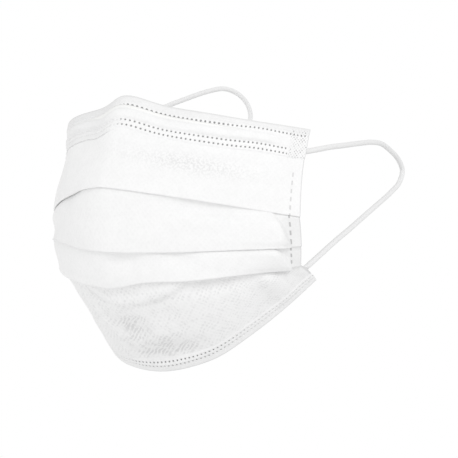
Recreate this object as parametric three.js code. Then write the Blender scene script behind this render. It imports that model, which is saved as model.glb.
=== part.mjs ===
// A pleated surgical face mask in the shape it takes on a face, in millimetres.
// +Z is up, the wearer looks along -Y, and +X is the wearer's left.
// The origin is on the inside of the top edge, where the mask sits on the bridge of the nose.
import * as THREE from "three";

// The mask on the face
const faceWidth = 139; // across the cheeks, from side edge to side edge
const faceDepth = 73; // from the foremost fold back to the rearmost corner
const faceHeight = 122; // from the bridge of the nose down to under the chin
const seatDrop = 4; // from the top edge down to the seat on the nose

// The pinch that the wire makes over the nose
const noseOut = 6.5;
const noseRise = 4.2;
const noseHalfWidth = 12.8;

// The cloth, which is three thin layers laid together
const wall = 1;
const layerGap = 0.3;

// The strips folded over the two long edges
const topBindingHeight = 14;
const bottomBindingHeight = 7;

// The flat wire in the top strip
const wireLength = 130;
const wireWidth = 4;
const wireThickness = 0.8;
const wireDrop = 7; // from the top edge down to the middle of the wire
const sleeveEase = 0.4; // room above and below the wire under the strip
const sleeveSlope = 1; // height over which the strip rises onto the wire
const sleeveLead = 6; // length beyond the wire's end before the strip comes down
const sleeveFade = 8; // length over which it comes down

// The round elastic
const elasticDiameter = 2.5;
const elasticSides = 8;
const elasticSteps = 48;

// Fineness of the mesh. The slices crowd over the nose by crowding, which is 0 where they are even.
const halfStations = 15;
const crowding = 0.4;
const rowSteps = 80;
const turnSteps = 4;
const topPanelFalls = [0.3, 0.55, 0.8, 1];
const lowerPanelFalls = [0.3, 0.65];

// Cross-sections from the top down. halfWidth is a share of faceWidth, front and back are shares of
// faceDepth, and middle and side are shares of faceHeight. From the middle out to the side the
// section goes back with planPower and changes height with dropPower.
const sections = [
  { name: "top edge", halfWidth: 0.477, front: 0.089, back: 0.656, middle: -0.034, side: -0.116,
    planPower: 3.2, dropPower: 1.9, pinch: 1 },
  { name: "first fold", halfWidth: 0.491, front: -0.213, back: 0.475, middle: -0.321, side: -0.428,
    planPower: 1.7, dropPower: 1.3, pinch: 0 },
  { name: "second fold", halfWidth: 0.5, front: -0.196, back: 0.474, middle: -0.547, side: -0.53,
    planPower: 1.7, dropPower: 2, pinch: 0 },
  { name: "third fold", halfWidth: 0.468, front: -0.124, back: 0.573, middle: -0.678, side: -0.604,
    planPower: 2.5, dropPower: 1.3, pinch: 0 },
  { name: "bottom edge", halfWidth: 0.46, front: 0.315, back: 0.786, middle: -1.003, side: -0.663,
    planPower: 2.1, dropPower: 2.1, pinch: 0 },
];

// Pleats, one row for each fold. The depths are the cloth hidden behind the fold, as shares of the
// panel above it, and the openings are how far its layers stand apart beyond layerGap, in walls.
const pleats = [
  { name: "first pleat", depthSide: 0.34, depthMiddle: 0.12, openSide: 0, openMiddle: 1 },
  { name: "second pleat", depthSide: 0.7, depthMiddle: 0.2, openSide: 0, openMiddle: 0.5 },
  { name: "third pleat", depthSide: 0.7, depthMiddle: 0.25, openSide: 0, openMiddle: 0.5 },
];

// How far each panel swells outwards half way down, as a share of its own height
const panelCrowns = [0.03, 0.05, 0.05, 0.03];

// Routes of the two elastics, from the weld behind the top corner round to the one behind the
// lower corner. They are free cords, so their points are chosen by hand.
const leftElasticRoute = [
  [58.6, 35.4, -19.2], [61.0, 39.3, -19.7], [64.2, 44.8, -20.1], [66.0, 52.0, -19.2],
  [66.6, 64.0, -17.8], [66.6, 78.0, -16.7], [66.2, 94.0, -15.4], [65.7, 109.0, -14.5],
  [65.3, 120.0, -15.0], [64.9, 131.0, -18.0], [64.5, 141.5, -22.6], [64.3, 146.4, -28.0],
  [64.3, 143.0, -33.5], [64.5, 132.5, -38.6], [64.9, 117.0, -44.2], [65.2, 101.5, -49.6],
  [65.5, 86.0, -55.1], [65.3, 72.0, -60.2], [64.5, 59.5, -65.6], [62.9, 50.5, -70.2],
  [60.4, 46.6, -73.4], [57.8, 44.6, -76.4],
];
const rightElasticRoute = [
  [-58.6, 35.4, -19.2], [-61.0, 39.3, -19.7], [-63.4, 44.8, -19.0], [-62.6, 53.0, -15.0],
  [-57.0, 66.0, -7.6], [-50.0, 80.0, 0.0], [-43.0, 93.0, 6.0], [-37.5, 103.0, 10.2],
  [-31.6, 112.8, 14.0], [-26.9, 121.4, 15.8], [-23.0, 129.1, 13.4], [-20.4, 134.6, 8.0],
  [-19.8, 136.6, 0.8], [-22.0, 132.2, -7.0], [-26.0, 123.4, -15.4], [-32.0, 111.0, -26.0],
  [-38.2, 97.0, -37.6], [-44.8, 82.4, -49.0], [-51.2, 68.0, -59.4], [-57.0, 55.2, -68.0],
  [-60.2, 47.8, -73.0], [-57.8, 44.6, -76.4],
];

// Layers that lie face to face are one pitch apart, middle to middle
const pitch = wall + layerGap;
// A strip folded over an edge keeps the cloth this far inside that edge
const edgeInset = pitch + wall / 2;
// The inside of the top strip is this far behind the middle of the cloth
const seatInset = pitch + wall / 2;

// Shapes of the cross-sections

// The half of a section from the middle to the wearer's left
function halfRow(section) {
  const points = [];
  for (let i = 0; i <= rowSteps; i += 1) {
    const out = i / rowSteps;
    const x = section.halfWidth * faceWidth * out;
    const y = (section.front + (section.back - section.front) * out ** section.planPower) * faceDepth;
    const z = (section.middle + (section.side - section.middle) * out ** section.dropPower) * faceHeight;
    const pinch = section.pinch * Math.exp(-((x / noseHalfWidth) ** 2));
    points.push(new THREE.Vector3(x, y - noseOut * pinch - seatInset, z + noseRise * pinch + seatDrop));
  }
  return new THREE.CatmullRomCurve3(points);
}

const rowCurves = sections.map(halfRow);
const topHalfLength = rowCurves[0].getLength();

// The point of a section at a share of its length, from -1 at the right edge to 1 at the left one
function rowPoint(curve, share) {
  const point = curve.getPointAt(Math.abs(share));
  point.x *= Math.sign(share);
  return point;
}

// The direction of the same section there, towards the wearer's left
function rowTangent(curve, share) {
  const tangent = curve.getTangentAt(Math.abs(share));
  if (share < 0) {
    tangent.set(tangent.x, -tangent.y, -tangent.z);
  }
  return tangent;
}

function outwardNormal(down, across) {
  return new THREE.Vector3().crossVectors(down, across).normalize();
}

// Everything that the pieces need to know about one upright slice of the mask
function slice(share) {
  const points = rowCurves.map((curve) => rowPoint(curve, share));
  const across = rowCurves.map((curve) => rowTangent(curve, share));
  const last = points.length - 1;
  const downs = [];
  const heights = [];
  for (let panel = 0; panel < last; panel += 1) {
    const run = points[panel + 1].clone().sub(points[panel]);
    heights.push(run.length());
    downs.push(run.normalize());
  }
  const normals = points.map((point, row) => {
    const above = outwardNormal(downs[Math.max(row - 1, 0)], across[row]);
    const below = outwardNormal(downs[Math.min(row, last - 1)], across[row]);
    return above.add(below).normalize();
  });
  return { share, middleness: 1 - share * share, points, downs, heights, normals };
}

function mix(low, high, amount) {
  return low + (high - low) * amount;
}

// How far apart the layers of a pleat lie in a slice, middle to middle
function pleatPitch(cut, pleat) {
  return pitch + wall * mix(pleat.openSide, pleat.openMiddle, cut.middleness);
}

function pleatDepth(cut, pleat, panel) {
  return cut.heights[panel] * mix(pleat.depthSide, pleat.depthMiddle, cut.middleness);
}

// A point on the middle of a panel's cloth, or beside it. fall is the share of the panel's height.
// A panel below a pleat starts two layers behind the fold above it and comes forward to the next.
function panelPoint(cut, panel, fall, depth) {
  const normal = cut.normals[panel].clone().lerp(cut.normals[panel + 1], fall).normalize();
  const crown = panelCrowns[panel] * cut.heights[panel] * Math.sin(Math.PI * fall);
  const recess = panel === 0 ? 0 : 2 * pleatPitch(cut, pleats[panel - 1]) * (1 - fall) ** 2;
  const point = cut.points[panel].clone().lerp(cut.points[panel + 1], fall);
  return { point: point.addScaledVector(normal, crown - recess + depth), normal };
}

// A layer of cloth or strip at a depth outside the panel's middle. side is 1 where its outer face
// looks away from the wearer, and -1 where the layer is turned back.
function addLayer(path, cut, panel, falls, depth, side) {
  for (const fall of falls) {
    const { point, normal } = panelPoint(cut, panel, fall, depth);
    path.push({ point, face: normal.clone().multiplyScalar(side) });
  }
}

// The inner points of a half turn round a centre, from the direction start through the direction
// through. side is 1 where the strip's outer face is on the outside of the turn.
function addTurn(path, centre, start, through, radius, side) {
  for (let i = 1; i < turnSteps; i += 1) {
    const angle = (Math.PI * i) / turnSteps;
    const ray = start.clone().multiplyScalar(Math.cos(angle));
    ray.addScaledVector(through, Math.sin(angle));
    path.push({
      point: centre.clone().addScaledVector(ray, radius),
      face: ray.clone().multiplyScalar(side),
    });
  }
}

// The direction down the cloth, square to its normal
function downAt(cut, panel, normal) {
  const down = cut.downs[panel].clone();
  return down.addScaledVector(normal, -down.dot(normal)).normalize();
}

// Solids from slices

// A closed solid through the slices' paths, each with the same number of points. Every path is
// given its thickness, half to each side, and the two end slices are closed flat.
function loft(paths, thickness) {
  const corners = [];
  const faces = [];
  const count = paths[0].length;
  const loop = 2 * count;
  for (const path of paths) {
    const outer = path.map(({ point, face }) => point.clone().addScaledVector(face, thickness / 2));
    const inner = path.map(({ point, face }) => point.clone().addScaledVector(face, -thickness / 2));
    corners.push(...outer, ...inner.reverse());
  }
  for (let row = 0; row < paths.length - 1; row += 1) {
    const near = row * loop;
    const far = near + loop;
    for (let k = 0; k < loop; k += 1) {
      const next = (k + 1) % loop;
      faces.push(near + k, near + next, far + k, near + next, far + next, far + k);
    }
  }
  const end = (paths.length - 1) * loop;
  for (let k = 0; k < count - 1; k += 1) {
    const back = loop - 1 - k;
    faces.push(k, back, k + 1, back, back - 1, k + 1);
    faces.push(end + k, end + k + 1, end + back, end + back, end + k + 1, end + back - 1);
  }
  const geometry = new THREE.BufferGeometry().setFromPoints(corners);
  geometry.setIndex(faces);
  geometry.computeVertexNormals();
  return geometry;
}

// Slices across the mask, closer together over the nose than at the sides, with one at each reach
function sliceShares(reach) {
  const shares = [];
  for (let i = -halfStations; i <= halfStations; i += 1) {
    const even = i / halfStations;
    shares.push(even * (1 - crowding + crowding * Math.abs(even)));
  }
  const nearest = shares[1] - shares[0];
  const inside = shares.filter((share) => Math.abs(share) < reach - nearest / 4);
  return [-reach, ...inside, reach];
}

// The pieces

// The cloth body with its three pleats, open at the back for the face
function bodyPath(cut) {
  const path = [];
  const last = sections.length - 2;
  const start = edgeInset / cut.heights[0];
  const end = 1 - edgeInset / cut.heights[last];
  addLayer(path, cut, 0, [start, ...topPanelFalls], 0, 1);
  pleats.forEach((pleat, panel) => {
    const gap = pleatPitch(cut, pleat);
    const top = 1 - pleatDepth(cut, pleat, panel) / cut.heights[panel];
    const fold = panelPoint(cut, panel, 1, -gap / 2);
    addTurn(path, fold.point, fold.normal, downAt(cut, panel, fold.normal), gap / 2, 1);
    addLayer(path, cut, panel, [1, top], -gap, -1);
    const tuck = panelPoint(cut, panel, top, -1.5 * gap);
    addTurn(path, tuck.point, tuck.normal, downAt(cut, panel, tuck.normal).negate(), gap / 2, -1);
    addLayer(path, cut, panel, [top, 1], -2 * gap, 1);
    const below = panel + 1;
    addLayer(path, cut, below, [...lowerPanelFalls, below === last ? end : 1], 0, 1);
  });
  return path;
}

function maskBody() {
  const paths = sliceShares(1).map((share) => bodyPath(slice(share)));
  return loft(paths, wall);
}

// How much the top strip is raised over the wire, from 1 over its length to 0 past its ends
function sleeveRise(share) {
  const past = Math.abs(share) * topHalfLength - wireLength / 2 - sleeveLead;
  return 1 - THREE.MathUtils.clamp(past / sleeveFade, 0, 1);
}

// The strip folded over the top edge, with the wire's sleeve on the outside
function topBindingPath(cut) {
  const height = cut.heights[0];
  const wireTop = wireDrop - wireWidth / 2 - sleeveEase;
  const wireBottom = wireDrop + wireWidth / 2 + sleeveEase;
  const raised = pitch + (wireThickness + layerGap) * sleeveRise(cut.share);
  const path = [];
  const inset = edgeInset / height;
  const foot = topBindingHeight / height;
  addLayer(path, cut, 0, [foot, foot / 2, inset], -pitch, -1);
  const edge = panelPoint(cut, 0, inset, 0);
  const up = downAt(cut, 0, edge.normal).negate();
  addTurn(path, edge.point, edge.normal.clone().negate(), up, pitch, 1);
  addLayer(path, cut, 0, [inset, (wireTop - sleeveSlope) / height], pitch, 1);
  addLayer(path, cut, 0, [wireTop / height, wireBottom / height], raised, 1);
  addLayer(path, cut, 0, [(wireBottom + sleeveSlope) / height, foot], pitch, 1);
  return path;
}

function topBinding() {
  const paths = sliceShares(1).map((share) => topBindingPath(slice(share)));
  return loft(paths, wall);
}

// The strip folded under the bottom edge
function bottomBindingPath(cut) {
  const panel = sections.length - 2;
  const height = cut.heights[panel];
  const inset = 1 - edgeInset / height;
  const rim = 1 - bottomBindingHeight / height;
  const path = [];
  addLayer(path, cut, panel, [rim, mix(rim, inset, 0.5), inset], pitch, 1);
  const edge = panelPoint(cut, panel, inset, 0);
  addTurn(path, edge.point, edge.normal, downAt(cut, panel, edge.normal), pitch, 1);
  addLayer(path, cut, panel, [inset, mix(rim, inset, 0.5), rim], -pitch, -1);
  return path;
}

function bottomBinding() {
  const paths = sliceShares(1).map((share) => bottomBindingPath(slice(share)));
  return loft(paths, wall);
}

// The flat wire between the cloth and the top strip, bent over the nose with them
function noseWire() {
  const depth = wall / 2 + layerGap + wireThickness / 2;
  const reach = wireLength / 2 / topHalfLength;
  const paths = sliceShares(reach).map((share) => {
    const cut = slice(share);
    const falls = [wireDrop - wireWidth / 2, wireDrop + wireWidth / 2].map((drop) => drop / cut.heights[0]);
    const path = [];
    addLayer(path, cut, 0, falls, depth, 1);
    return path;
  });
  return loft(paths, wireThickness);
}

// A round elastic along its route
function elastic(route) {
  const points = route.map(([x, y, z]) => new THREE.Vector3(x, y, z));
  const ring = new THREE.Shape();
  for (let i = 0; i < elasticSides; i += 1) {
    const angle = (2 * Math.PI * i) / elasticSides;
    const corner = [(elasticDiameter / 2) * Math.cos(angle), (elasticDiameter / 2) * Math.sin(angle)];
    if (i === 0) {
      ring.moveTo(...corner);
    } else {
      ring.lineTo(...corner);
    }
  }
  ring.closePath();
  const extrudePath = new THREE.CatmullRomCurve3(points, false, "centripetal");
  return new THREE.ExtrudeGeometry(ring, { steps: elasticSteps, extrudePath, bevelEnabled: false });
}

// Finishes

const cloth = new THREE.MeshStandardMaterial({ color: 0xf3f4f5, roughness: 0.9, metalness: 0 });
const strip = new THREE.MeshStandardMaterial({ color: 0xeff0f1, roughness: 0.88, metalness: 0 });
const plasticWire = new THREE.MeshStandardMaterial({ color: 0xf6f6f4, roughness: 0.45, metalness: 0 });
const knit = new THREE.MeshStandardMaterial({ color: 0xf1f1f2, roughness: 0.85, metalness: 0 });

function piece(name, geometry, material) {
  const mesh = new THREE.Mesh(geometry, material);
  mesh.name = name;
  return mesh;
}

const mask = new THREE.Group();
mask.add(piece("mask_body", maskBody(), cloth));
mask.add(piece("top_binding", topBinding(), strip));
mask.add(piece("bottom_binding", bottomBinding(), strip));
mask.add(piece("nose_wire", noseWire(), plasticWire));
mask.add(piece("ear_loop_left", elastic(leftElasticRoute), knit));
mask.add(piece("ear_loop_right", elastic(rightElasticRoute), knit));

export default mask;
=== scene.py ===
# %% [markdown]
# A pleated surgical mask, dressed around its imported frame.
# The frame fixes where everything is. This file makes what is seen: thin folded cloth, the two
# strips with their weld dots, the wire, and two soft elastics. Lengths below are in millimetres
# and are turned into metres when a mesh is made.

# %% Load the frame
import math
from functools import reduce

import bpy
import numpy as np
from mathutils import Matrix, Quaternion, Vector


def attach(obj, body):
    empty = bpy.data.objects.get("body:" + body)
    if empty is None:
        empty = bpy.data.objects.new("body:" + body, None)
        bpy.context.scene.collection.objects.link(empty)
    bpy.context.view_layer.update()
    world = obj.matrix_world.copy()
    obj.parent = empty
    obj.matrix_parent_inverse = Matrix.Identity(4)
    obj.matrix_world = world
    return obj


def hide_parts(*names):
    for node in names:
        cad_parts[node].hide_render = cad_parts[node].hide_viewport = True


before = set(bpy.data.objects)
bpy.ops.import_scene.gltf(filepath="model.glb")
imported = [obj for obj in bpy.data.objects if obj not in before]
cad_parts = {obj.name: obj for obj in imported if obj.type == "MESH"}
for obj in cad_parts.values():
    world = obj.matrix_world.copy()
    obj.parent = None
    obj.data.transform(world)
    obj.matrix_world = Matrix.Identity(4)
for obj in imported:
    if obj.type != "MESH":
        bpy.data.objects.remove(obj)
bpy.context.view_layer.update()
MM = 0.001
print("frame nodes:", sorted(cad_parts))

# %% [markdown]
# The camera comes first, because everything is judged through it. The mask was seen from its left
# front, almost level, from about half a metre. A long lens at a real distance gives the same
# gentle perspective as the photograph, so the far cheek is a little smaller than the near one. Its
# numbers were found together with the mask's cross-sections, by least squares on points that were
# read off the photograph, and then rounded.

# %% Camera
PHOTO_SIDE = 458
FOCAL_PIXELS = 1243
SENSOR = 36
VIEW_AZIMUTH = math.radians(38.2)
VIEW_ELEVATION = math.radians(2.8)
VIEW_DISTANCE = 532.6
MASK_MIDDLE = np.array([0, -13.0, -59.3])
AIM_RIGHT = 52.5
AIM_UP = 5.8
CAMERA_ROLL = math.radians(-0.2)

view_right = np.array([math.cos(VIEW_AZIMUTH), math.sin(VIEW_AZIMUTH), 0])
view_back = np.array([
    math.sin(VIEW_AZIMUTH) * math.cos(VIEW_ELEVATION),
    -math.cos(VIEW_AZIMUTH) * math.cos(VIEW_ELEVATION),
    math.sin(VIEW_ELEVATION),
])
view_up = np.cross(view_back, view_right)
camera_place = MASK_MIDDLE + VIEW_DISTANCE * view_back
camera_aim = MASK_MIDDLE + AIM_RIGHT * view_right + AIM_UP * view_up

camera_data = bpy.data.cameras.new("camera")
camera_data.sensor_width = SENSOR
camera_data.lens = FOCAL_PIXELS * SENSOR / PHOTO_SIDE
camera_data.clip_start = 0.01
camera = bpy.data.objects.new("camera", camera_data)
bpy.context.scene.collection.objects.link(camera)
camera.location = Vector(camera_place * MM)
look = Vector(camera_aim - camera_place).to_track_quat("-Z", "Y")
camera.rotation_euler = (look @ Quaternion((0, 0, 1), CAMERA_ROLL)).to_euler()
bpy.context.scene.camera = camera
print("lens", round(camera_data.lens, 1), "mm at", VIEW_DISTANCE, "mm")

# %% [markdown]
# The picture is almost all white: a white mask cut out on pure white. The world is white where it
# is seen, and lights the mask a little less than that, so that edges which turn away go soft grey.
# A wide lamp above the near cheek is the main light, a weaker one reaches the far cheek, and a low
# card lifts the folds that look down. The Standard view keeps white at white. The floor lies below
# the picture, for the other views.

# %% Light and floor
WORLD_LIGHT = 0.83
FLOOR_DROP = 300
FLOOR_RADIUS = 540
LAMP_DISTANCE = 1500

scene = bpy.context.scene
scene.view_settings.view_transform = "Standard"
scene.view_settings.look = "None"


def white_world(light):
    """A world seen as pure white that lights the scene with the given share of it."""
    world = bpy.data.worlds.new("white_room")
    world.use_nodes = True
    nodes = world.node_tree.nodes
    path = nodes.new("ShaderNodeLightPath")
    share = nodes.new("ShaderNodeMapRange")
    share.inputs["To Min"].default_value = light
    world.node_tree.links.new(path.outputs["Is Camera Ray"], share.inputs["Value"])
    world.node_tree.links.new(share.outputs[0], nodes["Background"].inputs["Strength"])
    nodes["Background"].inputs["Color"].default_value = (1, 1, 1, 1)
    return world


def soft_lamp(name, azimuth, elevation, width, brightness):
    """A square lamp at an azimuth from the front and an elevation, in degrees. A white card that
    faces it shows the brightness, because a lamp's power spreads over pi squared times the
    distance squared."""
    data = bpy.data.lights.new(name, "AREA")
    data.energy = brightness * (math.pi * LAMP_DISTANCE * MM) ** 2
    data.size = width * MM
    lamp = bpy.data.objects.new(name, data)
    scene.collection.objects.link(lamp)
    turn_from_front, height = math.radians(azimuth), math.radians(elevation)
    way = Vector((math.sin(turn_from_front) * math.cos(height),
                  -math.cos(turn_from_front) * math.cos(height), math.sin(height)))
    lamp.location = (Vector(MASK_MIDDLE) + way * LAMP_DISTANCE) * MM
    lamp.rotation_euler = way.to_track_quat("Z", "Y").to_euler()
    return lamp


scene.world = white_world(WORLD_LIGHT)
soft_lamp("main_lamp", azimuth=55, elevation=34, width=700, brightness=0.365)
soft_lamp("far_cheek_lamp", azimuth=-55, elevation=-12, width=900, brightness=0.26)
soft_lamp("low_card", azimuth=65, elevation=-24, width=900, brightness=0.12)


def new_material(name):
    """A new material with nodes, and its shader."""
    material = bpy.data.materials.new(name)
    material.use_nodes = True
    return material, material.node_tree.nodes["Principled BSDF"]


def plain_material(name, colour, roughness):
    """A one-colour surface for the stage."""
    material, shader = new_material(name)
    shader.inputs["Base Color"].default_value = (*colour, 1)
    shader.inputs["Roughness"].default_value = roughness
    return material


bpy.ops.mesh.primitive_circle_add(vertices=96, radius=FLOOR_RADIUS * MM, fill_type="NGON",
                                  location=(0, 0, -FLOOR_DROP * MM))
floor = bpy.context.object
floor.name = "floor"
floor.data.materials.append(plain_material("pale_floor", (0.92, 0.92, 0.92), 0.9))

# %% [markdown]
# Every mesh here is a grid worked out as one array of points. A piece of cloth is a grid of points
# on its middle, each with a direction to its outer face. Half the thickness goes to each side, and
# the rims are closed, so a cloth is one closed shell. Three sets of UVs go with it: one measures
# the cloth itself, one how far a point is from the side edge and down from the top, and one says
# which panel it is in.

# %% Grid meshes
def mesh_piece(name, points, faces, corner_uvs, material):
    """A smooth mesh object at the origin from points in millimetres. corner_uvs takes the number of
    the point at every face corner and gives, for each map's name, (u, v) at every corner."""
    mesh = bpy.data.meshes.new(name)
    mesh.from_pydata((points * MM).tolist(), [], faces)
    corners = np.zeros(len(mesh.loops), dtype=np.int64)
    mesh.loops.foreach_get("vertex_index", corners)
    for map_name, values in corner_uvs(corners).items():
        layer = mesh.uv_layers.new(name=map_name)
        layer.data.foreach_set("uv", values.astype(np.float32).ravel())
    mesh.polygons.foreach_set("use_smooth", np.ones(len(mesh.polygons), dtype=bool))
    mesh.validate()
    mesh.update()
    mesh.materials.append(material)
    piece = bpy.data.objects.new(name, mesh)
    scene.collection.objects.link(piece)
    print(name, "faces:", len(mesh.polygons))
    return piece


def grid_quads(rows, columns, start=0, flip=False):
    """The quads between neighbouring rows and columns of a grid of points, counted row by row."""
    index = start + np.arange(rows * columns).reshape(rows, columns)
    quads = np.stack([index[:-1, :-1], index[1:, :-1], index[1:, 1:], index[:-1, 1:]], -1)
    quads = quads.reshape(-1, 4)
    return quads[:, ::-1] if flip else quads


def rim_quads(outer, inner):
    """The quads that join two lines of points with the same count, outer and inner."""
    return np.stack([outer[:-1], outer[1:], inner[1:], inner[:-1]], -1)


def cloth_shell(name, middle, face, thickness, uv_maps, material):
    """A closed cloth: middle plus and minus half the thickness along face, with its rims closed.
    middle and face are arrays of rows down the cloth by columns across it."""
    rows, columns = middle.shape[:2]
    half = face * thickness / 2
    points = np.concatenate([(middle + half).reshape(-1, 3), (middle - half).reshape(-1, 3)])
    outer = np.arange(rows * columns).reshape(rows, columns)
    inner = outer + rows * columns
    quads = np.concatenate([
        grid_quads(rows, columns),
        grid_quads(rows, columns, start=rows * columns, flip=True),
        rim_quads(inner[0], outer[0])[:, ::-1],
        rim_quads(outer[-1], inner[-1])[:, ::-1],
        rim_quads(outer[:, 0], inner[:, 0])[:, ::-1],
        rim_quads(inner[:, -1], outer[:, -1])[:, ::-1],
    ])
    doubled = {key: np.tile(value.reshape(-1, 2), (2, 1)) for key, value in uv_maps.items()}

    def corner_uvs(corners):
        return {key: value[corners] for key, value in doubled.items()}

    return mesh_piece(name, points, quads.tolist(), corner_uvs, material)


# %% [markdown]
# The elastics are cords, and their routes are the frame's own. A round elastic of 2.5 mm leaves
# its weld behind a top corner, goes back round the ear and comes down to the lower corner. The
# points are joined by one smooth curve, and a tube of rings follows it. Where it is welded, the
# tube is pressed flat against the cloth.

# %% Routes of the elastics
ELASTIC_DIAMETER = 2.5
LEFT_ROUTE = np.array([
    [58.6, 35.4, -19.2], [61.0, 39.3, -19.7], [64.2, 44.8, -20.1], [66.0, 52.0, -19.2],
    [66.6, 64.0, -17.8], [66.6, 78.0, -16.7], [66.2, 94.0, -15.4], [65.7, 109.0, -14.5],
    [65.3, 120.0, -15.0], [64.9, 131.0, -18.0], [64.5, 141.5, -22.6], [64.3, 146.4, -28.0],
    [64.3, 143.0, -33.5], [64.5, 132.5, -38.6], [64.9, 117.0, -44.2], [65.2, 101.5, -49.6],
    [65.5, 86.0, -55.1], [65.3, 72.0, -60.2], [64.5, 59.5, -65.6], [62.9, 50.5, -70.2],
    [60.4, 46.6, -73.4], [57.8, 44.6, -76.4],
])
RIGHT_ROUTE = np.array([
    [-58.6, 35.4, -19.2], [-61.0, 39.3, -19.7], [-63.4, 44.8, -19.0], [-62.6, 53.0, -15.0],
    [-57.0, 66.0, -7.6], [-50.0, 80.0, 0.0], [-43.0, 93.0, 6.0], [-37.5, 103.0, 10.2],
    [-31.6, 112.8, 14.0], [-26.9, 121.4, 15.8], [-23.0, 129.1, 13.4], [-20.4, 134.6, 8.0],
    [-19.8, 136.6, 0.8], [-22.0, 132.2, -7.0], [-26.0, 123.4, -15.4], [-32.0, 111.0, -26.0],
    [-38.2, 97.0, -37.6], [-44.8, 82.4, -49.0], [-51.2, 68.0, -59.4], [-57.0, 55.2, -68.0],
    [-60.2, 47.8, -73.0], [-57.8, 44.6, -76.4],
])


def smooth_route(points, spacing):
    """A centripetal Catmull-Rom curve through the points, read at an even spacing. Each stretch is
    blended from the four nearest points, with knots at the square root of the distances."""
    ends = [2 * points[0] - points[1]], [2 * points[-1] - points[-2]]
    p = np.concatenate([ends[0], points, ends[1]])
    knots = np.concatenate([[0], np.cumsum(np.sqrt(np.linalg.norm(np.diff(p, axis=0), axis=1)))])
    fine = []
    for i in range(1, len(p) - 2):
        t = np.linspace(knots[i], knots[i + 1], 40, endpoint=False)[:, None]
        k0, k1, k2, k3 = knots[i - 1:i + 3]
        a1 = ((k1 - t) * p[i - 1] + (t - k0) * p[i]) / (k1 - k0)
        a2 = ((k2 - t) * p[i] + (t - k1) * p[i + 1]) / (k2 - k1)
        a3 = ((k3 - t) * p[i + 1] + (t - k2) * p[i + 2]) / (k3 - k2)
        b1 = ((k2 - t) * a1 + (t - k0) * a2) / (k2 - k0)
        b2 = ((k3 - t) * a2 + (t - k1) * a3) / (k3 - k1)
        fine.append(((k2 - t) * b1 + (t - k1) * b2) / (k2 - k1))
    line = np.concatenate([*fine, points[-1:]])
    reach = np.concatenate([[0], np.cumsum(np.linalg.norm(np.diff(line, axis=0), axis=1))])
    count = int(round(reach[-1] / spacing)) + 1
    even = np.linspace(0, reach[-1], count)
    return np.stack([np.interp(even, reach, line[:, axis]) for axis in range(3)], -1), even


def smoothstep(low, high, x):
    """0 below low, 1 above high, and a smooth S between them."""
    t = np.clip((x - low) / (high - low), 0, 1)
    return t * t * (3 - 2 * t)


def unit(vectors):
    return vectors / np.linalg.norm(vectors, axis=-1, keepdims=True)


# %% [markdown]
# Materials are worked out from measures on the cloth. Spunbond cloth is a mat of fine fibres held
# together by a lattice of small pressed points, so its material has that lattice as a bump and a
# slightly deeper tone, with a mottle of fibres between. Weld dots and dashes are pressed through
# all layers, and look grey and a little shiny. Small helpers keep the node sums readable.

# %% Node helpers
class Sums:
    """Short names for the math nodes of one material. Each method returns an output socket."""

    def __init__(self, material):
        self.nodes = material.node_tree.nodes
        self.links = material.node_tree.links

    def put(self, socket, value):
        if isinstance(value, bpy.types.NodeSocket):
            self.links.new(value, socket)
        else:
            socket.default_value = value

    def do(self, operation, *values):
        node = self.nodes.new("ShaderNodeMath")
        node.operation = operation
        for socket, value in zip(node.inputs, values):
            self.put(socket, value)
        return node.outputs[0]

    def times(self, *values):
        return reduce(lambda a, b: self.do("MULTIPLY", a, b), values)

    def plus(self, *values):
        return reduce(lambda a, b: self.do("ADD", a, b), values)

    def highest(self, *values):
        return reduce(lambda a, b: self.do("MAXIMUM", a, b), values)

    def step(self, low, high, value):
        """A smooth step from 0 at low to 1 at high."""
        node = self.nodes.new("ShaderNodeMapRange")
        node.interpolation_type = "SMOOTHSTEP"
        for socket, number in (("Value", value), ("From Min", low), ("From Max", high)):
            self.put(node.inputs[socket], number)
        return node.outputs[0]

    def below(self, low, high, value):
        """A smooth step from 1 at low to 0 at high."""
        return self.do("SUBTRACT", 1.0, self.step(low, high, value))

    def measures(self, map_name, span):
        """The two measures of a UV map, in millimetres."""
        uv = self.nodes.new("ShaderNodeUVMap")
        uv.uv_map = map_name
        split = self.nodes.new("ShaderNodeSeparateXYZ")
        self.links.new(uv.outputs[0], split.inputs[0])
        return [self.do("MULTIPLY", split.outputs[axis], float(span)) for axis in range(2)]

    def saw(self, value, pitch, shift=0.0):
        """How far a measure is from the nearest mark of an even row, in millimetres."""
        turned = self.do("ADD", self.do("DIVIDE", value, pitch), shift)
        return self.do("MULTIPLY", self.do("SUBTRACT", self.do("FRACT", turned), 0.5), pitch)

    def noise(self, scale, detail):
        """Noise on the piece's own coordinates, so that it never slides."""
        place = self.nodes.new("ShaderNodeTexCoord")
        node = self.nodes.new("ShaderNodeTexNoise")
        node.inputs["Scale"].default_value = scale
        node.inputs["Detail"].default_value = detail
        self.links.new(place.outputs["Object"], node.inputs["Vector"])
        return node.outputs["Fac"]

    def bump(self, height, strength, distance, below=None):
        node = self.nodes.new("ShaderNodeBump")
        node.inputs["Strength"].default_value = strength
        node.inputs["Distance"].default_value = distance * MM
        self.links.new(height, node.inputs["Height"])
        if below is not None:
            self.links.new(below, node.inputs["Normal"])
        return node.outputs["Normal"]

    def blend(self, share, first, second):
        """A colour between two colours."""
        node = self.nodes.new("ShaderNodeMix")
        node.data_type = "RGBA"
        self.put(node.inputs["Factor"], share)
        for socket, colour in ((node.inputs[6], first), (node.inputs[7], second)):
            self.put(socket, colour if isinstance(colour, bpy.types.NodeSocket) else (*colour, 1))
        return node.outputs[2]


# %% Marks on the cloth
CLOTH_SPAN = 200.0
BOND_PITCH = 2.3
BOND_UNEVEN = 3.0
DOT_PITCH = 1.96
DOT_RADIUS = 0.42
TOP_ROW = 3.6
TOP_DOUBLE_ROWS = (10.4, 12.65)
BOTTOM_DOUBLE_ROWS = (3.95, 6.0)
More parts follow.
